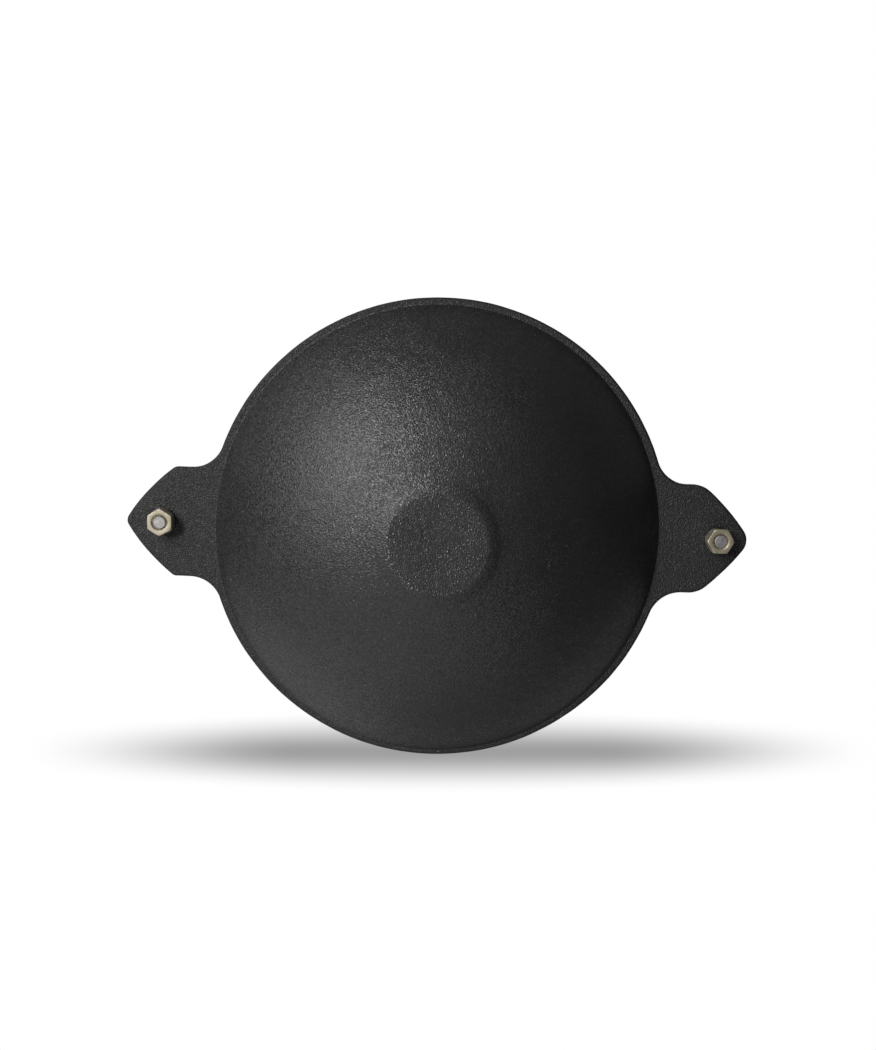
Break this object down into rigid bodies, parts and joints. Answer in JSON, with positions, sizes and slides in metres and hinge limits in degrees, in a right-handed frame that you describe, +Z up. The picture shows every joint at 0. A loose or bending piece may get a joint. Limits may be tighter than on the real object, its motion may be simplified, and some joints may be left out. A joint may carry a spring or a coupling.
{
  "type": "appam pan",
  "caption": "Shallow round cast-iron bowl pan with a flat rim, a low round foot and pointed side lugs, each carrying an upright turned wooden knob held by a through screw, nut and washers.",
  "frame": {"origin": "centre of the foot's flat underside, on the surface the pan stands on", "axes": "+Z up out of the bowl's mouth, +X along the line through both lugs towards the right lug, +Y across"},
  "size_m": [0.3424, 0.254, 0.106],
  "materials": {
    "cast_iron": "sand-cast, oiled, dark grey-black",
    "knob_wood": "turned, lightly lacquered",
    "screw_steel": "plain zinc-plated steel",
    "washer_steel": "plain zinc-plated steel",
    "spring_steel": "blackened spring steel",
    "nut_zinc": "yellow zinc-plated steel"
  },
  "bodies": {
    "root": {"pan_body": "cast_iron", "left_knob": "knob_wood", "left_screw": "screw_steel", "left_flat_washer": "washer_steel", "left_spring_washer": "spring_steel", "left_hex_nut": "nut_zinc", "right_knob": "knob_wood", "right_screw": "screw_steel", "right_flat_washer": "washer_steel", "right_spring_washer": "spring_steel", "right_hex_nut": "nut_zinc"}
  },
  "joints": []
}
